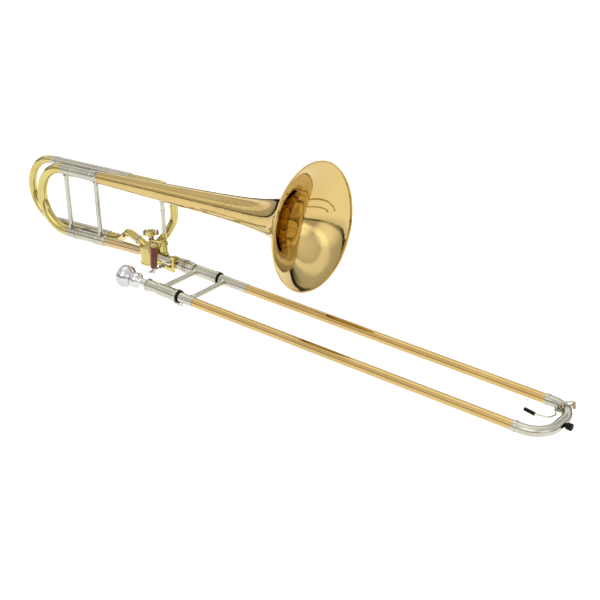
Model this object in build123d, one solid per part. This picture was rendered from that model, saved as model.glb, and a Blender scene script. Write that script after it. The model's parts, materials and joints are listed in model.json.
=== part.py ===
"""Tenor trombone with an open-wrap F attachment, a drum rotor valve and a thumb lever.

Millimetres, +Z up, +X from the player towards the slide's end bow. The origin is on the axis of the
bell-side slide leg, at the flange where the slide joins the bell section. The other slide leg, with
the mouthpiece, is parallel to it on the -Y side. The bell section is drawn in its own frame: stations
S run forward along the gooseneck from the valve's centre, N runs from the gooseneck to the bell, and
the whole frame is tipped up by BELL_ANGLE.
"""

import os
from math import cos, radians, sin

from build123d import *

# ---- driving dimensions: layout ----
LEG_SPACING = 98.0            # between the two slide legs
BELL_ANGLE = 4.68             # the bell section's rise from the slide, degrees
VALVE_X = -53.0               # the valve's centre; bell-section stations S are measured from it
BELL_OFFSET = 122.5           # gooseneck axis to bell axis
RIM_S = 361.3                 # bell rim plane
F_PLANE_Y = 25.0              # the F slide lies this far beside the main tuning slide
F_UPPER_N = 124.5
F_LOWER_N = 1.5

# ---- driving dimensions: bell ----
BELL_RADIUS = 106.2
BELL_WALL = 0.6
TAIL_S = -114.0
STEM_RADIUS_AT_RIM = 25.5     # the stem's cone, carried on to the rim plane
STEM_TAPER = 0.0287
FLARE_LENGTH = 250.0
FLARE_POWER = 7.7
BEAD_RADIUS = 1.5
RIM_WIRE_RADIUS = 0.95

# ---- driving dimensions: tuning slides ----
TUBE_WALL = 0.5
MOUTH_S = -188.0
FERRULE_S = -135.5
SLEEVE_RADIUS = 9.75
SLEEVE_BORE = 9.05
MAIN_LEG_RADIUS = 9.0
MAIN_BOW_RADIUS = 9.3
MAIN_BOW_S = -213.0
F_MOUTH_S = -249.0
F_SLEEVE_RADIUS = 8.5
F_SLEEVE_BORE = 7.85
F_LEG_RADIUS = 7.8
F_BOW_RADIUS = 7.6
F_BOW_S = -266.0
F_UPPER_SLEEVE_END = -63.0
F_LOWER_SLEEVE_END = -128.0
F_TUBE_RADIUS = 7.3
TUNING_BRACE_S = -204.0
REAR_BRACE_S = -128.0
BRACE_RADIUS = 4.6
BELL_BRACE_S = 33.0
BELL_BRACE_RADIUS = 3.6
NECK_RADIUS = 8.9
NECK_RADIUS_AT_VALVE = 8.25

# ---- driving dimensions: valve ----
CASING_RADIUS = 21.3
CASING_BORE = 20.4
CASING_BOTTOM = -12.5
CASING_TOP = 17.0
ROTOR_RADIUS = 20.34
WINDWAY_RADIUS = 7.0
ELBOW_WINDWAY_RADIUS = 6.2
ELBOW_BEND = 9.0
F_PORT_RADIUS = 12.0
SPINDLE_RADIUS = 2.5
TOWER_TOP = 36.0
WHEEL_RADIUS = 9.5
WHEEL_LOW = 37.5
WHEEL_HIGH = 44.0
STOP_RADIUS = 13.5
PIN_CIRCLE = 12.5

# ---- driving dimensions: thumb lever, in the horn's frame ----
LEVER_X = -15.0
LEVER_Z = -6.5
LEVER_SHAFT_RADIUS = 2.2
GRIP_X = -15.0
GRIP_Y = -38.0
GRIP_RADIUS = 5.9
GRIP_BOTTOM = -2.6
GRIP_TOP = 37.4
LINK_Y = -10.67
BALL_RADIUS = 2.3
BALL_REST = 7.23              # the ball starts this far ahead of upright, degrees
BALL_ARM = 42.84              # hinge to ball
BALL_X = LEVER_X + BALL_ARM * sin(radians(BALL_REST))
BALL_Z = LEVER_Z + BALL_ARM * cos(radians(BALL_REST))

# ---- driving dimensions: slide receiver and lock nut ----
RECEIVER_RADIUS = 8.5
THREAD_RADIUS = 9.6
TENON_RADIUS = 8.0
TENON_START = 9.0
NUT_START = 15.2
NUT_END = 48.5

# ---- driving dimensions: hand slide ----
INNER_RADIUS = 7.25
SLIDE_BORE = 6.95
STOCKING_RADIUS = 7.48
OUTER_BORE = 7.55
OUTER_RADIUS = 7.9
INNER_END = 725.0
FERRULE_X = 735.0
BOW_FERRULE_END = 741.5
BOW_X = 747.0
BOW_CORNER = 38.0
BOW_RADIUS = 8.35
INNER_BRACE_X = 54.5
OUTER_BRACE_X = 117.5
NEAR_Y = -LEG_SPACING
NEAR_BARREL = (50.0, 90.4)
NEAR_LIP = 97.4
NEAR_SLIDE_START = 101.0
NEAR_SLEEVE_END = 131.7
FAR_BARREL = (50.5, 94.5)
FAR_LIP = 102.8
FAR_SLIDE_START = 105.4
FAR_SLEEVE_END = 166.0

# ---- driving dimensions: water key, on the end bow's centre line ----
WATER_KEY_ANGLE = 52.0
KEY_HINGE_X = -12.2
KEY_HINGE_Z = 0.5
NIPPLE_TILT = 12.0

PARTS = {}


def add(name, *shapes):
    """Keep one node: a single solid, or a group of separate ones."""
    PARTS[name] = shapes[0] if len(shapes) == 1 else Compound(children=list(shapes))


def turned(points, x0=0.0, y0=0.0, z0=0.0):
    """A solid turned about a line along X, from (x, radius) corners."""
    face = make_face(Polyline(*[(x, r) for x, r in points], close=True))
    return Pos(x0, y0, z0) * revolve(face, Axis.X)


def tube(x0, x1, outer, bore, y=0.0, z=0.0):
    """A straight tube along X."""
    return turned([(x0, bore), (x1, bore), (x1, outer), (x0, outer)], 0, y, z)


def beaded_tube(x0, x1, outer, bore, bead, width, y=0.0, z=0.0):
    """A tube along X with a raised ring at its x0 end."""
    return turned([(x0, bore), (x1, bore), (x1, outer), (x0 + width, outer),
                   (x0 + 0.8 * width, bead), (x0 + 0.2 * width, bead), (x0, outer)], 0, y, z)


def rod(start, end, radius):
    """A round bar between two points."""
    line = Line(start, end)
    return sweep((line ^ 0) * Circle(radius), path=line)


def pipe(points, bends, radius, bore=None):
    """A round tube, or bar when it has no bore, along straight runs with round bends."""
    path = FilletPolyline(*points, radius=bends)
    outside = sweep((path ^ 0) * Circle(radius), path=path)
    if bore is None:
        return outside
    return outside - sweep((path ^ 0) * Circle(bore), path=path)


def brace(start, end, radius, foot_radius, foot_length):
    """A crossbar that widens into a foot at each end."""
    line = Vector(*end) - Vector(*start)
    length = line.length
    profile = make_face(Polyline((0, 0), (0, foot_radius), (foot_length, radius),
                                 (length - foot_length, radius), (length, foot_radius),
                                 (length, 0), close=True))
    bar = revolve(profile, Axis.X)
    return Plane(origin=start, x_dir=line, z_dir=line.cross(Vector(0.3, 0.5, 0.8))).location * bar


def in_bell_frame(shape):
    """Bell-section shapes are drawn with X along the gooseneck and Z towards the bell."""
    return Pos(VALVE_X, 0, 0) * Rot(0, -BELL_ANGLE, 0) * shape


def bell_point(s, y, n):
    """The position of a bell-section point in the horn's own frame."""
    a = radians(BELL_ANGLE)
    return (VALVE_X + s * cos(a) - n * sin(a), y, s * sin(a) + n * cos(a))


def bell_radius(back):
    """Outer radius of the bell at a distance back from its rim: a cone plus a flare."""
    stem = STEM_RADIUS_AT_RIM - STEM_TAPER * back
    flare = (BELL_RADIUS - STEM_RADIUS_AT_RIM) * (1 + back / FLARE_LENGTH) ** -FLARE_POWER
    return stem + flare


def bell_slope(back):
    step = 0.01
    return (bell_radius(back + step) - bell_radius(back)) / step


# ---- bell section: bell and its rim ----
def make_bell():
    stations = [0, 3, 8, 16, 28, 45, 70, 105, 150, 210, 290, 380, RIM_S - TAIL_S]
    outside = []
    inside = []
    for back in stations:
        radius = bell_radius(back)
        slope = bell_slope(back)
        length = (1 + slope * slope) ** 0.5
        outside.append((RIM_S - back, radius))
        inside.append((RIM_S - back - BELL_WALL * slope / length, radius - BELL_WALL / length))
    inside[0] = (RIM_S, inside[0][1])
    inside[-1] = (TAIL_S, inside[-1][1])
    outer_curve = Spline(*outside)
    inner_curve = Spline(*inside)
    section = make_face([outer_curve, Line(outside[-1], inside[-1]), inner_curve,
                         Line(inside[0], outside[0])])
    flare = revolve(section, Axis.X)
    bead_profile = Pos(RIM_S + BEAD_RADIUS, BELL_RADIUS) * Circle(BEAD_RADIUS)
    bead = revolve(bead_profile - Pos(RIM_S + BEAD_RADIUS, BELL_RADIUS) * Circle(RIM_WIRE_RADIUS),
                   Axis.X)
    neck_ring = make_face(Polyline((RIM_S - 0.4, BELL_RADIUS - 1.2), (RIM_S + 0.7, BELL_RADIUS - 1.2),
                                   (RIM_S + 0.7, BELL_RADIUS + 0.1), (RIM_S - 0.4, BELL_RADIUS + 0.1),
                                   close=True))
    bell = Pos(0, 0, BELL_OFFSET) * (flare + bead + revolve(neck_ring, Axis.X))
    wire_profile = Pos(RIM_S + BEAD_RADIUS, BELL_RADIUS) * Circle(RIM_WIRE_RADIUS)
    wire = Pos(0, 0, BELL_OFFSET) * revolve(wire_profile, Axis.X)
    wire -= bell
    add("bell", in_bell_frame(bell))
    add("bell_rim_wire", in_bell_frame(wire))


# ---- bell section: fixed sleeves, gooseneck, braces ----
def make_sleeves():
    sleeves = [in_bell_frame(beaded_tube(MOUTH_S, FERRULE_S + 2.5, SLEEVE_RADIUS, SLEEVE_BORE,
                                         10.5, 3, 0, n)) for n in (BELL_OFFSET, 0)]
    add("main_tuning_sleeves", *sleeves)
    tail_radius = bell_radius(RIM_S - TAIL_S)
    root = [(FERRULE_S, SLEEVE_RADIUS), (FERRULE_S + 2.5, SLEEVE_RADIUS),
            (FERRULE_S + 2.5, SLEEVE_BORE), (TAIL_S - 4, SLEEVE_BORE)]
    bell_side = turned(root + [(TAIL_S, tail_radius - BELL_WALL), (TAIL_S, tail_radius + 0.4),
                               (TAIL_S - 3, tail_radius + 0.4), (TAIL_S - 7, SLEEVE_RADIUS + 0.9),
                               (FERRULE_S + 2, SLEEVE_RADIUS + 0.7), (FERRULE_S + 1, SLEEVE_RADIUS + 1.2),
                               (FERRULE_S, SLEEVE_RADIUS + 1.2)], 0, 0, BELL_OFFSET)
    neck_side = turned(root + [(TAIL_S, NECK_RADIUS - 0.8), (TAIL_S, NECK_RADIUS + 0.4),
                               (TAIL_S - 4, SLEEVE_RADIUS + 0.5), (FERRULE_S + 2, SLEEVE_RADIUS + 0.7),
                               (FERRULE_S + 1, SLEEVE_RADIUS + 1.2), (FERRULE_S, SLEEVE_RADIUS + 1.2)])
    add("tuning_sleeve_ferrules", in_bell_frame(bell_side), in_bell_frame(neck_side))
    f_sleeves = []
    for end, n in ((F_UPPER_SLEEVE_END, F_UPPER_N), (F_LOWER_SLEEVE_END, F_LOWER_N)):
        f_sleeves.append(in_bell_frame(turned(
            [(F_MOUTH_S, F_SLEEVE_BORE), (end - 6, F_SLEEVE_BORE), (end - 6, F_TUBE_RADIUS),
             (end, F_TUBE_RADIUS), (end, 8.1), (end - 3, F_SLEEVE_RADIUS),
             (F_MOUTH_S + 3, F_SLEEVE_RADIUS), (F_MOUTH_S + 2.4, 9.2), (F_MOUTH_S + 0.6, 9.2),
             (F_MOUTH_S, F_SLEEVE_RADIUS)],
            0, F_PLANE_Y, n)))
    add("f_tuning_sleeves", *f_sleeves)


def make_gooseneck():
    neck = turned([(TAIL_S, NECK_RADIUS - 0.8), (-15, WINDWAY_RADIUS), (-15, NECK_RADIUS_AT_VALVE),
                   (TAIL_S, NECK_RADIUS)])
    add("gooseneck", in_bell_frame(neck - casing_envelope()))


def make_bell_braces():
    ferrule_radius = SLEEVE_RADIUS + 0.5
    rear = brace(bell_point(REAR_BRACE_S, 0, ferrule_radius - 0.6),
                 bell_point(REAR_BRACE_S, 0, BELL_OFFSET - ferrule_radius + 0.6),
                 BRACE_RADIUS, BRACE_RADIUS + 1.2, 8)
    for n in (0, BELL_OFFSET):
        rear -= in_bell_frame(turned([(FERRULE_S, 0), (TAIL_S, 0), (TAIL_S, SLEEVE_RADIUS + 0.9),
                                      (TAIL_S - 7, SLEEVE_RADIUS + 0.9),
                                      (FERRULE_S, SLEEVE_RADIUS + 0.7)], 0, 0, n))
    add("rear_brace", rear)
    stem_radius = bell_radius(RIM_S - BELL_BRACE_S)
    collar = 88.0
    foot = 47.0
    low = 6.5
    high = BELL_OFFSET - stem_radius + 2.5
    r = BELL_BRACE_RADIUS
    upper_profile = [(foot, 0), (foot, r), (collar - 1, r), (collar - 1, r + 0.9), (collar + 1, r + 0.9),
                     (collar + 1, r + 0.3), (high - 7, r + 0.3), (high - 2, r + 2.2), (high, r + 2.4),
                     (high, 0)]
    lower_profile = [(low, 0), (low, r + 2.2), (low + 5, r + 0.6), (foot - 1, r + 0.5), (foot, r),
                     (foot, 0)]
    along_n = Pos(BELL_BRACE_S, 0, 0) * Rot(0, -90, 0)
    stem = turned([(BELL_BRACE_S - 15, 0), (BELL_BRACE_S + 15, 0),
                   (BELL_BRACE_S + 15, bell_radius(RIM_S - BELL_BRACE_S - 15) + 0.02),
                   (BELL_BRACE_S - 15, bell_radius(RIM_S - BELL_BRACE_S + 15) + 0.02)], 0, 0, BELL_OFFSET)
    add("bell_brace", in_bell_frame(along_n * turned(upper_profile) - stem))
    post = in_bell_frame(along_n * turned(lower_profile))
    add("bell_brace_foot", post - tube(-60, 20, RECEIVER_RADIUS, 0.01))


def make_f_braces():
    """Two short ties between the F slide's fixed sleeves and the main tuning slide's."""
    ties = []
    for s, n_main, n_f in ((-150.0, BELL_OFFSET, F_UPPER_N), (-150.0, 0.0, F_LOWER_N)):
        tie = rod(bell_point(s, 2, n_main), bell_point(s, F_PLANE_Y - 2, n_f), 2.6)
        tie -= in_bell_frame(tube(-180, -120, SLEEVE_RADIUS, 0.01, 0, n_main))
        tie -= in_bell_frame(tube(-180, -120, F_SLEEVE_RADIUS, 0.01, F_PLANE_Y, n_f))
        ties.append(tie)
    add("f_slide_ties", *ties)


# ---- bell section: valve casing and F tubing ----
def drum(radius, low, high):
    """A cylinder standing on the valve's axis, in the bell frame."""
    return Pos(0, 0, (low + high) / 2) * Cylinder(radius, high - low)


def casing_envelope():
    return drum(CASING_RADIUS, CASING_BOTTOM - 4, CASING_TOP)


RETURN_PATH = [(-60, -1, 9.5), (-80, -0.5, 17), (-113, 3, 25), bell_point(-100, F_PLANE_Y, F_LOWER_N),
               bell_point(F_LOWER_SLEEVE_END - 6, F_PLANE_Y, F_LOWER_N)]
RETURN_BENDS = [30, 30, 34]
OUTLET_PATH = [(-43, 0, 12), (-40, 3.5, 25), (-28.5, 12, 42.5), (-21.5, F_PLANE_Y, 68),
               bell_point(35, F_PLANE_Y, F_UPPER_N),
               bell_point(F_UPPER_SLEEVE_END - 6, F_PLANE_Y, F_UPPER_N)]
OUTLET_BENDS = [25, 30, 40, 29]


def make_f_tubes():
    bore = F_TUBE_RADIUS - TUBE_WALL
    casing = in_bell_frame(casing_envelope())
    add("f_return_tube", pipe(RETURN_PATH, RETURN_BENDS, F_TUBE_RADIUS, bore) - casing)
    add("f_outlet_tube", pipe(OUTLET_PATH, OUTLET_BENDS, F_TUBE_RADIUS, bore) - casing)
    line = Line((-87.4, 0.3, 18.8), (-83.5, -0.1, 17.85))
    ring = sweep((line ^ 0) * Circle(8.3), path=line)
    add("f_tube_ferrule", ring - pipe(RETURN_PATH, RETURN_BENDS, F_TUBE_RADIUS))


def port_bores():
    """The F tubing's two bores through the casing's top, in the bell frame."""
    bore = F_TUBE_RADIUS - TUBE_WALL
    both = pipe(RETURN_PATH, RETURN_BENDS, bore) + pipe(OUTLET_PATH, OUTLET_BENDS, bore)
    return Rot(0, BELL_ANGLE, 0) * Pos(-VALVE_X, 0, 0) * both


def make_valve_casing():
    shell = drum(CASING_RADIUS, CASING_BOTTOM, CASING_TOP) - drum(CASING_BORE, CASING_BOTTOM, CASING_TOP)
    shell -= Rot(0, 90, 0) * Cylinder(WINDWAY_RADIUS, 60)
    shell -= port_bores()
    add("valve_casing", in_bell_frame(shell.solids().sort_by(SortBy.VOLUME)[-1]))
    tower_profile = make_face(Polyline((0, CASING_TOP - 2), (CASING_BORE, CASING_TOP - 2),
                                       (CASING_BORE, CASING_TOP), (4.4, CASING_TOP),
                                       (3.9, CASING_TOP + 2), (5.6, TOWER_TOP - 1.8),
                                       (5.6, TOWER_TOP), (0, TOWER_TOP), close=True))
    plate = revolve(Plane.XZ.location * tower_profile, Axis.Z)
    for angle in (71.7, 198.3):
        arm = Rot(0, 0, angle) * (Pos(8.5, 0, TOWER_TOP - 0.9) * Box(10, 5, 1.8)
                                  + Pos(STOP_RADIUS, 0, TOWER_TOP - 0.9) * Cylinder(2.5, 1.8))
        plate += arm
    ports = port_bores() & drum(CASING_BORE, CASING_TOP - 3, CASING_TOP + 1)
    plate -= ports
    plate -= drum(SPINDLE_RADIUS + 0.06, 0, 60)
    add("valve_top_plate", in_bell_frame(plate.solids().sort_by(SortBy.VOLUME)[-1]))
    cap = drum(CASING_RADIUS + 0.9, CASING_BOTTOM - 2.4, CASING_BOTTOM) + drum(5, CASING_BOTTOM - 3.6,
                                                                              CASING_BOTTOM - 2.4)
    add("valve_bottom_cap", in_bell_frame(cap - drum(SPINDLE_RADIUS + 0.06, CASING_BOTTOM - 1.8, 0)))
    bumpers = [in_bell_frame(Rot(0, 0, angle) * Pos(STOP_RADIUS, 0, 0) * drum(1.9, TOWER_TOP, 42.5))
               for angle in (71.7, 198.3)]
    add("stop_bumpers", *bumpers)


# ---- rotor body ----
def make_rotor():
    top = CASING_TOP - 2.1
    bottom = CASING_BOTTOM + 0.1
    body = drum(ROTOR_RADIUS, bottom, top) - Rot(0, 90, 0) * Cylinder(WINDWAY_RADIUS, 60)
    for side in (-1, 1):
        exit_y = side * F_PORT_RADIUS
        path = FilletPolyline((0, exit_y + side * 20, 0), (0, exit_y, 0), (0, exit_y, 30),
                              radius=ELBOW_BEND)
        body -= sweep((path ^ 0) * Circle(ELBOW_WINDWAY_RADIUS), path=path)
    body += drum(SPINDLE_RADIUS, top, WHEEL_HIGH) + drum(SPINDLE_RADIUS, CASING_BOTTOM - 1.5, bottom)
    add("rotor", in_bell_frame(body))
    wheel = drum(WHEEL_RADIUS, WHEEL_LOW, WHEEL_HIGH)
    wheel = chamfer(wheel.edges().filter_by(GeomType.CIRCLE), 0.7)
    middle = (WHEEL_LOW + WHEEL_HIGH) / 2
    height = WHEEL_HIGH - WHEEL_LOW - 2
    wheel += Rot(0, 0, 180) * Pos(11.4, 0, middle) * Box(7.6, 4.0, height)
    wheel += Rot(0, 0, -45) * (Pos(PIN_CIRCLE, 0, middle) * Cylinder(2.6, height)
                               + Pos(PIN_CIRCLE - 3, 0, middle) * Box(6, 5.2, height))
    wheel -= drum(SPINDLE_RADIUS, WHEEL_LOW, WHEEL_HIGH)
    add("stop_wheel", in_bell_frame(wheel))
    low = WHEEL_LOW + 1
    pin = drum(1.25, 29.4, low) + drum(2.2, 28.6, 29.4)
    add("link_pin", in_bell_frame(Rot(0, 0, -45) * Pos(PIN_CIRCLE, 0, 0) * pin))
    screw = drum(3.6, WHEEL_HIGH, WHEEL_HIGH + 1.3) - Pos(0, 0, WHEEL_HIGH + 1.1) * Box(9, 0.9, 0.9)
    add("wheel_screw", in_bell_frame(screw))


# ---- thumb lever body and its link ----
def make_lever():
    shaft = rod((LEVER_X, -9.4, LEVER_Z), (LEVER_X, -19.5, LEVER_Z), LEVER_SHAFT_RADIUS)
    bar = rod((LEVER_X, -18.5, LEVER_Z), (LEVER_X, -47, LEVER_Z - 1), 1.9)
    knob = Pos(LEVER_X, -47, LEVER_Z - 1) * Sphere(2.9)
    tail = Pos(GRIP_X, GRIP_Y, -7.6) * Cylinder(3.3, 9.5)
    core = Pos(GRIP_X, GRIP_Y, 17.5) * Cylinder(1.6, 42)
    add("lever_shaft", shaft + bar + knob + tail + core)
    length = GRIP_TOP - GRIP_BOTTOM
    grip = Pos(GRIP_X, GRIP_Y, (GRIP_TOP + GRIP_BOTTOM) / 2) * Cylinder(GRIP_RADIUS, length)
    grip = fillet(grip.edges().filter_by(GeomType.CIRCLE), 1.8)
    add("thumb_grip", grip - Pos(GRIP_X, GRIP_Y, 17.5) * Cylinder(1.6, 42))
    arm_z = 39.6
    arm = (Pos(GRIP_X, GRIP_Y, 39.2) * Cylinder(4.0, 3.6)
           + rod((GRIP_X, GRIP_Y, arm_z), (BALL_X, LINK_Y, arm_z), 1.15)
           + Pos(BALL_X, LINK_Y, arm_z) * Cylinder(2.6, 2.4))
    add("lever_arm", arm - Pos(GRIP_X, GRIP_Y, 17.5) * Cylinder(1.6, 42))
    screw = Pos(GRIP_X, GRIP_Y, 41.9) * (Cylinder(3.0, 1.8) - Pos(0, 0, 0.6) * Cylinder(1.1, 1.2))
    add("grip_screw", screw)
    stud = Pos(BALL_X, LINK_Y, (BALL_Z + arm_z - 1.2) / 2) * Cylinder(1.1, arm_z - 1.2 - BALL_Z)
    add("lever_ball", stud + Pos(BALL_X, LINK_Y, BALL_Z) * Sphere(BALL_RADIUS))
    a = radians(BELL_ANGLE)
    ball_s = (BALL_X - VALVE_X) * cos(a) + BALL_Z * sin(a)
    ball_n = BALL_Z * cos(a) - (BALL_X - VALVE_X) * sin(a)
    slot_s = PIN_CIRCLE * cos(radians(45))
    thickness = 2.6
    at_ball = Pos(ball_s, LINK_Y, ball_n)
    at_slot = Pos(slot_s, LINK_Y, ball_n)
    bar = (Pos((ball_s + slot_s) / 2, LINK_Y, ball_n) * Box(ball_s - slot_s, 4.0, thickness)
           + at_ball * Cylinder(3.9, thickness) + at_slot * Box(6.2, 3.0, thickness)
           + at_slot * Pos(0, 1.5, 0) * Cylinder(3.1, thickness)
           + at_slot * Pos(0, -1.5, 0) * Cylinder(3.1, thickness))
    bar -= (at_slot * Box(3.5, 3.0, 6) + at_slot * Pos(0, 1.5, 0) * Cylinder(1.75, 6)
            + at_slot * Pos(0, -1.5, 0) * Cylinder(1.75, 6))
    bar -= at_ball * (Sphere(BALL_RADIUS + 0.08) + Cylinder(1.95, 8))
    add("rotor_link", in_bell_frame(bar))


def make_lever_mount():
    ring = tube(-2.3, 7.5, 11.4, RECEIVER_RADIUS)
    plate = Pos(2.6, -10.2, -2) * Box(9.0, 7, 25)
    plate = chamfer(plate.faces().sort_by(Axis.Y)[0].edges(), 2.0)
    lug = Pos(LEVER_X / 2 + 2, -14.5, LEVER_Z) * Box(abs(LEVER_X) + 6, 6.5, 6.0)
    barrel = Pos(LEVER_X, -14.5, LEVER_Z) * Rot(90, 0, 0) * Cylinder(3.8, 6.5)
    body = ring + plate + lug + barrel - tube(-60, 20, RECEIVER_RADIUS, 0.01)
    add("lever_bracket", body - Pos(LEVER_X, -14.5, LEVER_Z) * Rot(90, 0, 0)
        * Cylinder(LEVER_SHAFT_RADIUS + 0.06, 9))
    coil = Helix(0.95, 3.8, 2.95, center=(LEVER_X, -18.4, LEVER_Z), direction=(0, -1, 0))
    add("lever_spring", sweep((coil ^ 0) * Circle(0.35), path=coil))


# ---- slide receiver and lock nut ----
def make_receiver():
    body = turned([(VALVE_X + 15, WINDWAY_RADIUS), (8, WINDWAY_RADIUS), (8, TENON_RADIUS + 0.06),
                   (26, TENON_RADIUS + 0.06), (26, THREAD_RADIUS), (7.5, THREAD_RADIUS),
                   (7.5, RECEIVER_RADIUS), (VALVE_X + 15, RECEIVER_RADIUS)])
    add("slide_receiver", body - in_bell_frame(casing_envelope()))


def make_lock_nut():
    rib_end = 36.2
    clear = THREAD_RADIUS + 0.3
    corners = [(NUT_END, TENON_RADIUS + 0.3), (30.8, TENON_RADIUS + 0.3), (30.8, clear),
               (NUT_START, clear), (NUT_START, 11.0)]
    ribs = 6
    pitch = (rib_end - NUT_START) / ribs
    for index in range(ribs):
        left = NUT_START + index * pitch
        crest = 12.3 if index in (3, 4) else 11.4
        corners += [(left + 0.1 * pitch, crest), (left + 0.6 * pitch, crest), (left + 0.75 * pitch, 10.7),
                    (left + 0.95 * pitch, 10.7)]
    corners += [(rib_end + 0.5, 11.4), (rib_end + 4, 11.4), (rib_end + 6, 10.2), (NUT_END, 9.9)]
    add("bell_lock_nut", turned(corners))


# ---- inner slide ----
def make_inner_slide():
    stocking_start = INNER_END - 120
    tubes = []
    for y, start in ((NEAR_Y, 46.0), (0.0, FAR_BARREL[0])):
        tubes.append(turned([(start, SLIDE_BORE), (INNER_END, SLIDE_BORE), (INNER_END, STOCKING_RADIUS),
                             (stocking_start, STOCKING_RADIUS), (stocking_start - 2, INNER_RADIUS),
                             (start, INNER_RADIUS)], 0, y))
    add("inner_slide_tubes", *tubes)
    near0, near1 = NEAR_BARREL
    far0, far1 = FAR_BARREL
    near = turned([(near0, INNER_RADIUS), (near0 + 6, INNER_RADIUS), (near0 + 6, 9.2), (NEAR_LIP, 9.2),
                   (NEAR_LIP, 9.9), (near1 + 0.4, 9.9), (near1, 10.5), (near0 + 2, 10.5), (near0, 9.6)],
                  0, NEAR_Y)
    far = turned([(TENON_START, SLIDE_BORE), (far0, SLIDE_BORE), (far0, INNER_RADIUS),
                  (far0 + 6, INNER_RADIUS), (far0 + 6, 8.9), (FAR_LIP, 8.9), (FAR_LIP, 11.5),
                  (far1 + 0.6, 11.5),
                  (far1, 10.8), (far1 - 1, 10.1), (far0 + 2.5, 10.1), (far0, 9.2), (far0, TENON_RADIUS),
                  (30, TENON_RADIUS), (30, 9.4), (26.4, 9.4), (26.4, TENON_RADIUS),
                  (TENON_START, TENON_RADIUS)])
    add("cork_barrels", near, far)
    near_face = NEAR_SLIDE_START - 0.3
    near_ring = turned([(near1 - 6, INNER_RADIUS), (near_face, INNER_RADIUS), (near_face, 10.8),
                        (NEAR_LIP, 10.8), (NEAR_LIP, 9.2), (near1 - 6, 9.2)], 0, NEAR_Y)
    far_face = FAR_SLIDE_START - 0.3
    far_ring = turned([(far1 - 8, INNER_RADIUS), (far_face, INNER_RADIUS), (far_face, 10.6),
                       (FAR_LIP, 10.6), (FAR_LIP, 8.9), (far1 - 8, 8.9)])
    add("slide_cushions", near_ring, far_ring)
    bar = brace((INNER_BRACE_X, NEAR_Y + 9.5, 0), (INNER_BRACE_X, -9.0, 0), 4.7, 6.0, 7)
    bar -= tube(40, 80, 10.5, 0.01, NEAR_Y)
    add("hand_brace", bar - tube(40, 80, 10.1, 0.01))
    receiver = turned([(27.0, 6.45), (near0, 6.05), (near0, 9.0), (31.1, 10.0), (30.1, 10.0),
                       (29.6, 11.25), (27.5, 11.25), (27.0, 10.9)], 0, NEAR_Y)
    receiver -= tube(46, 60, INNER_RADIUS, 0.01, NEAR_Y)
    add("mouthpiece_receiver", receiver)
    leadpipe = turned([(54, 6.0), (75, 5.2), (250, 6.6), (250, SLIDE_BORE), (54, SLIDE_BORE)], 0, NEAR_Y)
    add("leadpipe", leadpipe)


def make_lock_ring():
    low = NEAR_BARREL[1] + 0.6
    high = NEAR_LIP - 0.3
    ring = turned([(low, 9.95), (high, 9.95), (high, 11.6), (high - 0.6, 12.1), (high - 1.6, 12.1),
                   (high - 2.2, 11.4), (low + 2.2, 11.4), (low + 1.6, 12.1), (low + 0.6, 12.1),
                   (low, 11.6)])
    bar = Pos(101.0, 0, -12.4) * Box(16.0, 3.2, 2.4)
    tip = Pos(107.5, 3.1, -12.4) * Box(3.0, 3.2, 2.4)
    lug = Rot(14, 0, 0) * Pos(94.2, 0, -13.2) * Cylinder(1.7, 4.5)
    ring += Rot(-32, 0, 0) * (bar + tip) + lug
    add("slide_lock_ring", Pos(0, NEAR_Y, 0) * (ring - tube(40, NEAR_LIP, 9.95, 0.01)))


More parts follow.
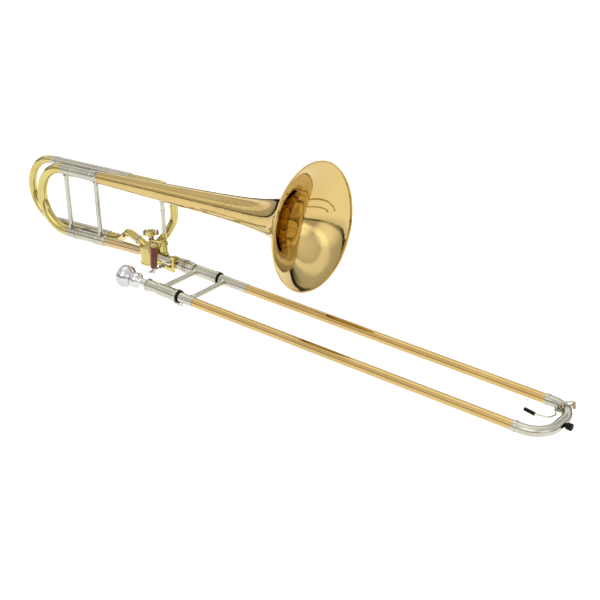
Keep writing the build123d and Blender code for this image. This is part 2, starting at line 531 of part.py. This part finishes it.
# ---- outer slide ----
def make_outer_slide():
    tubes = [tube(start + 2, FERRULE_X + 3, OUTER_RADIUS, OUTER_BORE, y)
             for y, start in ((NEAR_Y, NEAR_SLIDE_START), (0.0, FAR_SLIDE_START))]
    add("outer_slide_tubes", *tubes)
    sleeves = []
    for y, start, end, lip in ((NEAR_Y, NEAR_SLIDE_START, NEAR_SLEEVE_END, 9.1),
                                (0.0, FAR_SLIDE_START, FAR_SLEEVE_END, 8.8)):
        sleeves.append(turned([(start, OUTER_BORE), (start + 2, OUTER_BORE), (start + 2, OUTER_RADIUS),
                               (end, OUTER_RADIUS), (end, 8.3), (start + 16, 8.6), (start + 3, lip),
                               (start, lip)], 0, y))
    add("outer_slide_sleeves", *sleeves)
    bar = brace((OUTER_BRACE_X, NEAR_Y + 8.0, 0), (OUTER_BRACE_X, -8.0, 0), 4.7, 6.0, 7)
    for sleeve in sleeves:
        bar -= sleeve
    bar -= tube(100, 140, 8.3, 0.01, NEAR_Y)
    add("outer_brace", (bar - tube(100, 140, 8.3, 0.01)).solids().sort_by(SortBy.VOLUME)[-1])
    pin_x = 104.0
    pin = Pos(pin_x, NEAR_Y, -11.2) * Cylinder(1.25, 5.8) + Pos(pin_x, NEAR_Y, -9.0) * Cylinder(2.4, 1.4)
    add("slide_lock_pin", pin - tube(100, 140, 9.12, 0.01, NEAR_Y))
    ferrules = []
    for y in (NEAR_Y, 0.0):
        ferrules.append(turned([(FERRULE_X, OUTER_RADIUS), (FERRULE_X + 3, OUTER_RADIUS),
                                (FERRULE_X + 3, BOW_RADIUS), (BOW_FERRULE_END, BOW_RADIUS),
                                (BOW_FERRULE_END, 8.9), (BOW_FERRULE_END - 1, 9.2),
                                (FERRULE_X + 2, 9.2), (FERRULE_X, 8.9)], 0, y))
    add("bow_ferrules", *ferrules)
    corner_x = BOW_X + BOW_CORNER
    path = FilletPolyline((FERRULE_X + 3, NEAR_Y, 0), (corner_x, NEAR_Y, 0), (corner_x, 0, 0),
                          (FERRULE_X + 3, 0, 0), radius=BOW_CORNER)
    outside = sweep((path ^ 0) * Circle(BOW_RADIUS), path=path)
    inside = sweep((path ^ 0) * Circle(SLIDE_BORE), path=path)
    outwards = water_key_frame() * Rot(0, -NIPPLE_TILT, 0)
    drain = outwards * Pos(10, 0, 0) * Rot(0, 90, 0) * Cylinder(1.6, 12)
    add("end_bow", outside - inside - drain)
    nipple = outwards * Pos(9.8, 0, 0) * Rot(0, 90, 0) * (Cylinder(4.3, 4.4) - Cylinder(1.6, 8))
    add("drain_nipple", nipple - outside)
    stub = corner_x + BOW_RADIUS
    bumper = turned([(stub - 1.0, 0), (stub - 1.0, 3.6), (stub + 1.4, 3.6), (stub + 2.0, 5.3),
                     (stub + 9.2, 5.7), (stub + 10.2, 4.8), (stub + 10.2, 0)], 0, NEAR_Y / 2)
    add("end_bumper", bumper - outside)
    posts = [Pos(KEY_HINGE_X, side * 4.4, KEY_HINGE_Z) * (Rot(90, 0, 0) * Cylinder(2.2, 1.5)
             + Pos(2.5, 0, 0) * Box(5, 1.5, 4.0)) for side in (-1, 1)]
    saddle = posts[0] + posts[1] + Pos(-8.4, 0, KEY_HINGE_Z) * Box(1.8, 10.2, 6.0)
    saddle -= Pos(KEY_HINGE_X, 0, KEY_HINGE_Z) * Rot(90, 0, 0) * Cylinder(1.05, 20)
    add("water_key_saddle", water_key_frame() * saddle - outside)
    hinge = Pos(KEY_HINGE_X, 0, KEY_HINGE_Z) * Rot(90, 0, 0) * Cylinder(1.0, 11.4)
    add("water_key_pin", water_key_frame() * hinge)


# ---- water key ----
def water_key_frame():
    """On the end bow's centre line at the water key: X outwards, Y along the tube."""
    angle = radians(WATER_KEY_ANGLE)
    centre = (BOW_X + BOW_CORNER * cos(angle), -BOW_CORNER + BOW_CORNER * sin(angle), 0)
    return Pos(*centre) * Rot(0, 0, WATER_KEY_ANGLE)


def make_water_key():
    here = water_key_frame()
    pin_hole = Pos(KEY_HINGE_X, 0, KEY_HINGE_Z) * Rot(90, 0, 0) * Cylinder(1.05, 8)
    barrel = Pos(KEY_HINGE_X, 0, KEY_HINGE_Z) * Rot(90, 0, 0) * Cylinder(2.2, 3.0)
    tilt = Rot(0, -NIPPLE_TILT, 0)
    cup = tilt * Pos(15.5, 0, 0) * Rot(0, 90, 0) * Cylinder(4.9, 1.6)
    claw = pipe([(KEY_HINGE_X - 1.0, 0, 1.2), (-11.4, 0, 10.6), (6.0, 0, 11.2), (16.6, 0, 9.6),
                 (15.4, 0, 3.6)], [5, 12, 3], 1.3)
    finger = pipe([(760.3, -19.3, 0.2), (768.5, -32.5, 0), (763.8, -45.0, 0), (743, -50.2, 0),
                   (725.6, -46.4, 0)], [6, 8, 14], 1.4)
    add("water_key_lever", here * (barrel + cup + claw - pin_hole) + (finger - here * pin_hole))
    add("water_key_cork", here * tilt * Pos(13.5, 0, 0) * Rot(0, 90, 0) * Cylinder(4.4, 2.4))
    line = Line((743.5, -50.1, 0), (725.0, -46.4, 0))
    sleeve = sweep((line ^ 0) * Circle(2.9), path=line)
    add("water_key_tip", sleeve - PARTS["water_key_lever"])
    coil = Helix(0.65, 1.3, 1.75, center=(KEY_HINGE_X, 1.85, KEY_HINGE_Z), direction=(0, 1, 0))
    add("water_key_spring", here * sweep((coil ^ 0) * Circle(0.25), path=coil))


# ---- mouthpiece ----
def make_mouthpiece():
    cup = Spline((-29.0, 19.3), (-24.0, 19.8), (-19.0, 19.2), (-14.0, 16.0), (-9.5, 11.6))
    bowl = Spline((-9.5, 11.6), (-5.0, 12.9), (0.0, 13.7), (5.5, 12.4), (9.5, 8.6), (14.0, 6.9))
    shank = Polyline((14.0, 6.9), (26.3, 6.8), (26.7, 6.40), (53.0, 5.90), (53.0, 5.3))
    backbore = Line((53.0, 5.3), (-3.0, 3.4))
    inside = Spline((-3.0, 3.4), (-8.0, 6.6), (-17.0, 11.4), (-28.0, 12.9))
    rim = ThreePointArc((-28.0, 12.9), (-32.0, 16.4), (-29.0, 19.3))
    face = make_face([cup, bowl, shank, backbore, inside, rim])
    add("mouthpiece", Pos(0, NEAR_Y, 0) * revolve(face, Axis.X))


# ---- the two tuning slides ----
def make_tuning_slide(prefix, y, upper_n, lower_n, mouth, bow_s, leg_end, leg_radius, bow_radius,
                      ferrule_radius):
    collar_end = bow_s + 2
    legs = []
    ferrules = []
    for n in (upper_n, lower_n):
        legs.append(in_bell_frame(tube(collar_end, leg_end, leg_radius, leg_radius - TUBE_WALL, y, n)))
        ferrules.append(in_bell_frame(turned(
            [(collar_end, leg_radius), (mouth - 0.3, leg_radius), (mouth - 0.3, ferrule_radius + 0.5),
             (mouth - 2, ferrule_radius + 0.5), (mouth - 2.8, ferrule_radius),
             (collar_end, ferrule_radius)], 0, y, n)))
    add(prefix + "_slide_legs", *legs)
    add(prefix + "_slide_ferrules", *ferrules)
    radius = (upper_n - lower_n) / 2
    path = (Line(bell_point(collar_end, y, upper_n), bell_point(bow_s, y, upper_n))
            + ThreePointArc(bell_point(bow_s, y, upper_n),
                            bell_point(bow_s - radius, y, (upper_n + lower_n) / 2),
                            bell_point(bow_s, y, lower_n))
            + Line(bell_point(bow_s, y, lower_n), bell_point(collar_end, y, lower_n)))
    bow = sweep((path ^ 0) * Circle(bow_radius), path=path)
    bow -= sweep((path ^ 0) * Circle(bow_radius - TUBE_WALL), path=path)
    add(prefix + "_tuning_bow", bow)


def make_tuning_slides():
    make_tuning_slide("main", 0.0, BELL_OFFSET, 0.0, MOUTH_S, MAIN_BOW_S, TAIL_S - 4.5, MAIN_LEG_RADIUS,
                      MAIN_BOW_RADIUS, SLEEVE_RADIUS)
    make_tuning_slide("f", F_PLANE_Y, F_UPPER_N, F_LOWER_N, F_MOUTH_S, F_BOW_S, F_LOWER_SLEEVE_END - 6.5,
                      F_LEG_RADIUS, F_BOW_RADIUS, F_SLEEVE_RADIUS)
    bar = brace(bell_point(TUNING_BRACE_S, 0, SLEEVE_RADIUS - 0.4),
                bell_point(TUNING_BRACE_S, 0, BELL_OFFSET - SLEEVE_RADIUS + 0.4),
                BRACE_RADIUS, BRACE_RADIUS + 1.2, 8)
    for n in (0.0, BELL_OFFSET):
        bar -= in_bell_frame(tube(-230, -170, SLEEVE_RADIUS, 0.01, 0, n))
    add("tuning_slide_brace", bar)


make_bell()
make_sleeves()
make_gooseneck()
make_bell_braces()
make_f_braces()
make_f_tubes()
make_valve_casing()
make_rotor()
make_lever()
make_lever_mount()
make_receiver()
make_lock_nut()
make_inner_slide()
make_lock_ring()
make_outer_slide()
make_water_key()
make_mouthpiece()
make_tuning_slides()

os.makedirs("parts", exist_ok=True)
for node_name, node_shape in PARTS.items():
    export_step(node_shape, f"parts/{node_name}.step")
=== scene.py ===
"""Looks for the trombone: metals, wood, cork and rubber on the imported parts, the studio and the camera."""

import json

import bpy
from mathutils import Matrix, Vector


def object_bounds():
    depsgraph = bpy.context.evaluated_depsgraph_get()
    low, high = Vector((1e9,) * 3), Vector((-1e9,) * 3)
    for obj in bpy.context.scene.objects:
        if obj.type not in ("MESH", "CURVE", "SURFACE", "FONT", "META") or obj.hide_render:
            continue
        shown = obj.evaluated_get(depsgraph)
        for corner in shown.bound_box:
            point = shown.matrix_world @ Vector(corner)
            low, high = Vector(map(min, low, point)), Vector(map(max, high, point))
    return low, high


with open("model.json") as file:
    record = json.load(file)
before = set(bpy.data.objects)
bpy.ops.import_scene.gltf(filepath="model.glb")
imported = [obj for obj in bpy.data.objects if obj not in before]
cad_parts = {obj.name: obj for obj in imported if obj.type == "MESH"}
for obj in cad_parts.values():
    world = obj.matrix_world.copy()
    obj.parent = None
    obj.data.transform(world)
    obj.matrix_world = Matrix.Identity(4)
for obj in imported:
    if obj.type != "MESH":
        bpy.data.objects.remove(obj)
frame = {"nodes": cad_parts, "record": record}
cad_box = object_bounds()
nodes = frame["nodes"]

# Each metal by its slot: dark and light tone, roughness where polished and where dull, cloud scale, lacquer.
METALS = {
    "bell_brass": ((0.56, 0.41, 0.16), (0.63, 0.48, 0.205), 0.04, 0.09, 6.0, 0.3),
    "yellow_brass": ((0.52, 0.43, 0.15), (0.61, 0.52, 0.21), 0.04, 0.09, 18.0, 0.3),
    "rose_brass": ((0.56, 0.41, 0.225), (0.64, 0.48, 0.27), 0.05, 0.10, 18.0, 0.3),
    "slide_brass": ((0.53, 0.37, 0.145), (0.62, 0.45, 0.195), 0.04, 0.09, 9.0, 0.3),
    "nickel_silver": ((0.45, 0.43, 0.36), (0.56, 0.54, 0.46), 0.04, 0.10, 22.0, 0.15),
    "chrome_plate": ((0.50, 0.50, 0.50), (0.60, 0.60, 0.60), 0.05, 0.12, 20.0, 0.0),
    "silver_plate": ((0.56, 0.56, 0.55), (0.68, 0.68, 0.67), 0.04, 0.10, 20.0, 0.0),
    "steel": ((0.40, 0.40, 0.40), (0.58, 0.58, 0.57), 0.15, 0.30, 60.0, 0.0),
}

# The engraved band on the bell's stem, in metres in the horn's frame.
# Each row says where the band starts, where it is full, where it starts to fade and where it is gone.
ENGRAVED_ALONG = (0.10, 0.12, 0.205, 0.225)
ENGRAVED_ACROSS = (-0.034, -0.026, 0.0, 0.008)
ENGRAVED_COLOUR = (0.42, 0.26, 0.09, 1)
ENGRAVED_STRENGTH = 0.7

# The studio, in metres. The middle is the middle of the horn's length, at the height of its slide.
MIDDLE = (0.2, 0, 0)
FLOOR_SIZE = 60
FLOOR_DROP = 0.3
LIGHT_HEIGHT = 2.0

# Brightness of the tent by height, from level with the horn at 0 to straight above it at 1.
NEAR_SKY = ((0.0, 0.06), (0.045, 0.10), (0.07, 0.60), (0.30, 0.68), (0.38, 1.05), (0.50, 1.10),
            (0.56, 0.76), (0.80, 0.92), (1.0, 1.05))
FAR_SKY = ((0.0, 0.01), (0.13, 0.03), (0.17, 0.55), (0.30, 0.70), (0.36, 1.25), (0.48, 1.35),
           (0.54, 0.62), (0.72, 0.70), (0.80, 1.0), (1.0, 1.05))
# The far side lies this way from the horn. The near sky turns into the far one over this range of facing.
FAR_SIDE = (-0.53, 0.85, 0.0)
FAR_SIDE_RANGE = (0.45, 0.80)
# Soft spots in the tent: direction, facing at the edge, facing at full brightness, brightness.
SOFT_BOXES = (((0.10, -0.75, 0.65), 0.80, 1.00, 0.8), ((0.93, -0.30, 0.25), 0.88, 1.00, 0.6),
              ((-0.35, 0.25, 0.90), 0.85, 1.00, 0.5))
TENT_STRENGTH = 0.88

# The camera, with its lens and sensor in millimetres and its place in metres.
LENS = 83.23
SENSOR_WIDTH = 36
CAMERA_PLACE = (1.4967, -1.6526, 1.0263)
CAMERA_FORWARD = (-0.53279, 0.72179, -0.44176)
CAMERA_UP = (-0.28981, 0.33482, 0.89661)
CAMERA_REACH = 100


# ---- shader nodes ----
def new_material(name):
    material = bpy.data.materials.new(name)
    material.use_nodes = True
    tree = material.node_tree
    return material, tree, tree.nodes["Principled BSDF"]


def noise(tree, scale, detail, stretch=(1, 1, 1)):
    """A noise texture in the horn's own frame; a small number in stretch draws it out along that axis."""
    coordinates = tree.nodes.new("ShaderNodeTexCoord")
    mapping = tree.nodes.new("ShaderNodeMapping")
    mapping.inputs["Scale"].default_value = stretch
    texture = tree.nodes.new("ShaderNodeTexNoise")
    texture.inputs["Scale"].default_value = scale
    texture.inputs["Detail"].default_value = detail
    tree.links.new(coordinates.outputs["Object"], mapping.inputs["Vector"])
    tree.links.new(mapping.outputs["Vector"], texture.inputs["Vector"])
    return texture.outputs["Fac"]


def ramp(tree, source, low, high, start=0.35, end=0.65):
    """Blends from one colour to another over part of the source's range."""
    blend = tree.nodes.new("ShaderNodeValToRGB")
    blend.color_ramp.elements[0].position = start
    blend.color_ramp.elements[0].color = (*low, 1)
    blend.color_ramp.elements[1].position = end
    blend.color_ramp.elements[1].color = (*high, 1)
    tree.links.new(source, blend.inputs["Fac"])
    return blend.outputs["Color"]


def spread(tree, source, low, high):
    """Maps a 0 to 1 value on to a range."""
    mapping = tree.nodes.new("ShaderNodeMapRange")
    mapping.inputs["To Min"].default_value = low
    mapping.inputs["To Max"].default_value = high
    tree.links.new(source, mapping.inputs["Value"])
    return mapping.outputs["Result"]


def step(tree, source, start, end):
    """0 at start and 1 at end, which may lie on either side of it."""
    node = tree.nodes.new("ShaderNodeMapRange")
    node.inputs["From Min"].default_value = start
    node.inputs["From Max"].default_value = end
    tree.links.new(source, node.inputs["Value"])
    return node.outputs["Result"]


def combine(tree, operation, first, second):
    """Adds or multiplies two values."""
    node = tree.nodes.new("ShaderNodeMath")
    node.operation = operation
    tree.links.new(first, node.inputs[0])
    tree.links.new(second, node.inputs[1])
    return node.outputs["Value"]


def window(tree, source, rise, full, fade, gone):
    """1 between full and fade, 0 below rise and above gone."""
    return combine(tree, "MULTIPLY", step(tree, source, rise, full), step(tree, source, gone, fade))


def colour_mix(tree, factor):
    """A mix of two colours, whose A and B are still to be given."""
    mix = tree.nodes.new("ShaderNodeMix")
    mix.data_type = "RGBA"
    tree.links.new(factor, mix.inputs["Factor"])
    return mix


def facing(tree, view, direction):
    """How far the view points in a direction: 1 straight at it, 0 square to it."""
    node = tree.nodes.new("ShaderNodeVectorMath")
    node.operation = "DOT_PRODUCT"
    node.inputs[1].default_value = direction
    tree.links.new(view, node.inputs[0])
    return node.outputs["Value"]


def bump(tree, shader, height, strength, distance):
    node = tree.nodes.new("ShaderNodeBump")
    node.inputs["Strength"].default_value = strength
    node.inputs["Distance"].default_value = distance
    tree.links.new(height, node.inputs["Height"])
    tree.links.new(node.outputs["Normal"], shader.inputs["Normal"])


# ---- materials ----
def metal(name, dark, light, smooth, rough, cloud, lacquer):
    """Polished metal: cloudy tone, patchy polish and hairline wiping marks."""
    material, tree, shader = new_material(name)
    shader.inputs["Metallic"].default_value = 1.0
    shader.inputs["Coat Weight"].default_value = lacquer
    shader.inputs["Coat Roughness"].default_value = 0.04
    tone = ramp(tree, noise(tree, cloud, 5.0), dark, light, 0.3, 0.7)
    tree.links.new(tone, shader.inputs["Base Color"])
    patches = spread(tree, noise(tree, 3.1 * cloud, 6.0), smooth, rough)
    tree.links.new(patches, shader.inputs["Roughness"])
    bump(tree, shader, noise(tree, 900.0, 2.0, (0.08, 1, 1)), 0.03, 0.00004)
    return material


def engrave(material):
    """A faint band of curls on top of the bell's stem, where it starts to flare."""
    tree = material.node_tree
    coordinates = tree.nodes.new("ShaderNodeTexCoord")
    curl = tree.nodes.new("ShaderNodeTexNoise")
    curl.inputs["Scale"].default_value = 60.0
    curl.inputs["Distortion"].default_value = 3.0
    veins = tree.nodes.new("ShaderNodeTexWave")
    veins.inputs["Scale"].default_value = 70.0
    veins.inputs["Distortion"].default_value = 14.0
    veins.inputs["Detail"].default_value = 2.0
    axes = tree.nodes.new("ShaderNodeSeparateXYZ")
    for node in (curl, veins, axes):
        tree.links.new(coordinates.outputs["Object"], node.inputs["Vector"])
    band = combine(tree, "MULTIPLY", window(tree, axes.outputs["X"], *ENGRAVED_ALONG),
                   window(tree, axes.outputs["Y"], *ENGRAVED_ACROSS))
    cuts = combine(tree, "MULTIPLY", step(tree, curl.outputs["Fac"], 0.50, 0.53),
                   step(tree, veins.outputs["Fac"], 0.80, 0.90))
    mask = combine(tree, "MULTIPLY", band, cuts)
    mix = colour_mix(tree, spread(tree, mask, 0.0, ENGRAVED_STRENGTH))
    mix.inputs["B"].default_value = ENGRAVED_COLOUR
    base_colour = tree.nodes["Principled BSDF"].inputs["Base Color"]
    tree.links.new(base_colour.links[0].from_socket, mix.inputs["A"])
    tree.links.new(mix.outputs["Result"], base_colour)


def black_rubber():
    """Matt rubber with a fine grain."""
    material, tree, shader = new_material("black_rubber")
    tone = ramp(tree, noise(tree, 160.0, 6.0), (0.003, 0.003, 0.003), (0.009, 0.009, 0.009))
    tree.links.new(tone, shader.inputs["Base Color"])
    shader.inputs["Roughness"].default_value = 0.6
    shader.inputs["Specular IOR Level"].default_value = 0.25
    bump(tree, shader, noise(tree, 1400.0, 3.0), 0.25, 0.0002)
    return material


def dark_wood():
    """Oiled rosewood with its grain along the grip."""
    material, tree, shader = new_material("dark_wood")
    grain = noise(tree, 160.0, 8.0, (1, 1, 0.07))
    tone = ramp(tree, grain, (0.075, 0.016, 0.009), (0.21, 0.055, 0.026), 0.3, 0.7)
    tree.links.new(tone, shader.inputs["Base Color"])
    tree.links.new(spread(tree, grain, 0.28, 0.46), shader.inputs["Roughness"])
    shader.inputs["Coat Weight"].default_value = 0.12
    shader.inputs["Coat Roughness"].default_value = 0.2
    bump(tree, shader, grain, 0.25, 0.0002)
    return material


def cork():
    """Speckled, dull cork."""
    material, tree, shader = new_material("cork")
    tone = ramp(tree, noise(tree, 700.0, 4.0), (0.25, 0.14, 0.07), (0.52, 0.36, 0.2))
    tree.links.new(tone, shader.inputs["Base Color"])
    shader.inputs["Roughness"].default_value = 0.85
    return material


def make_materials():
    """Every finish by its slot."""
    materials = {slot: metal(slot, *finish) for slot, finish in METALS.items()}
    engrave(materials["bell_brass"])
    materials["black_rubber"] = black_rubber()
    materials["cork"] = cork()
    materials["dark_wood"] = dark_wood()
    return materials


def dress_parts(materials):
    """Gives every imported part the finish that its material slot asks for."""
    for part in frame["record"]["subparts"]:
        for slot in nodes[part["node"]].material_slots:
            slot.link = "OBJECT"
            slot.material = materials[part["material_slot"]]


# ---- studio ----
def make_floor():
    height = cad_box[0][2] - FLOOR_DROP
    bpy.ops.mesh.primitive_plane_add(size=FLOOR_SIZE, location=(MIDDLE[0], MIDDLE[1], height))
    floor = bpy.context.object
    floor.name = "floor"
    material, _, shader = new_material("floor_white")
    shader.inputs["Base Color"].default_value = (0.93, 0.93, 0.93, 1)
    shader.inputs["Roughness"].default_value = 0.9
    floor.data.materials.append(material)


def area_light(name, place, width, power):
    """A soft light aimed at the middle of the horn, which the metal doesn't mirror."""
    data = bpy.data.lights.new(name, "AREA")
    data.shape = "RECTANGLE"
    data.size = width
    data.size_y = LIGHT_HEIGHT
    data.energy = power
    lamp = bpy.data.objects.new(name, data)
    bpy.context.scene.collection.objects.link(lamp)
    lamp.location = place
    lamp.rotation_euler = (Vector(MIDDLE) - Vector(place)).to_track_quat("-Z", "Y").to_euler()
    lamp.visible_glossy = False


def sky(tree, height, stops):
    """Bands of brightness by height."""
    bands = tree.nodes.new("ShaderNodeValToRGB")
    elements = bands.color_ramp.elements
    for index, (place, level) in enumerate(stops):
        element = elements[index] if index < 2 else elements.new(place)
        element.position = place
        element.color = (level, level, level, 1)
    tree.links.new(height, bands.inputs["Fac"])
    return bands.outputs["Color"]


def soft_box(tree, view, direction, edge, full, strength):
    """A smooth bright spot in the tent."""
    spot = tree.nodes.new("ShaderNodeMapRange")
    spot.interpolation_type = "SMOOTHSTEP"
    spot.inputs["From Min"].default_value = edge
    spot.inputs["From Max"].default_value = full
    spot.inputs["To Max"].default_value = strength
    tree.links.new(facing(tree, view, Vector(direction).normalized()), spot.inputs["Value"])
    return spot.outputs["Result"]


def make_world():
    """A pale tent with grey walls, bright strips, soft spots and a dark gap low on the far side."""
    world = bpy.data.worlds.new("studio")
    bpy.context.scene.world = world
    world.use_nodes = True
    tree = world.node_tree
    view = tree.nodes.new("ShaderNodeTexCoord").outputs["Generated"]
    axes = tree.nodes.new("ShaderNodeSeparateXYZ")
    tree.links.new(view, axes.inputs["Vector"])
    sides = colour_mix(tree, step(tree, facing(tree, view, FAR_SIDE), *FAR_SIDE_RANGE))
    tree.links.new(sky(tree, axes.outputs["Z"], NEAR_SKY), sides.inputs["A"])
    tree.links.new(sky(tree, axes.outputs["Z"], FAR_SKY), sides.inputs["B"])
    total = sides.outputs["Result"]
    for direction, edge, full, strength in SOFT_BOXES:
        total = combine(tree, "ADD", total, soft_box(tree, view, direction, edge, full, strength))
    background = tree.nodes["Background"]
    tree.links.new(total, background.inputs["Color"])
    background.inputs["Strength"].default_value = TENT_STRENGTH


def make_camera():
    """The camera stands ahead of the horn on its right, a little above it."""
    data = bpy.data.cameras.new("camera")
    data.sensor_width = SENSOR_WIDTH
    data.lens = LENS
    data.clip_end = CAMERA_REACH
    camera = bpy.data.objects.new("camera", data)
    bpy.context.scene.collection.objects.link(camera)
    forward = Vector(CAMERA_FORWARD).normalized()
    right = forward.cross(Vector(CAMERA_UP).normalized()).normalized()
    up = right.cross(forward)
    turn = Matrix((right, up, -forward)).transposed().to_4x4()
    camera.matrix_world = Matrix.Translation(CAMERA_PLACE) @ turn
    bpy.context.scene.camera = camera


dress_parts(make_materials())
make_floor()
make_world()
make_camera()
area_light("key", (0.6, -3.0, 3.6), 3.0, 44)
area_light("fill", (3.6, 0.9, 2.4), 2.0, 22)
area_light("back", (-2.6, 2.4, 2.8), 2.0, 22)
bpy.context.scene.view_settings.view_transform = "Standard"
bpy.context.scene.view_settings.look = "Medium High Contrast"
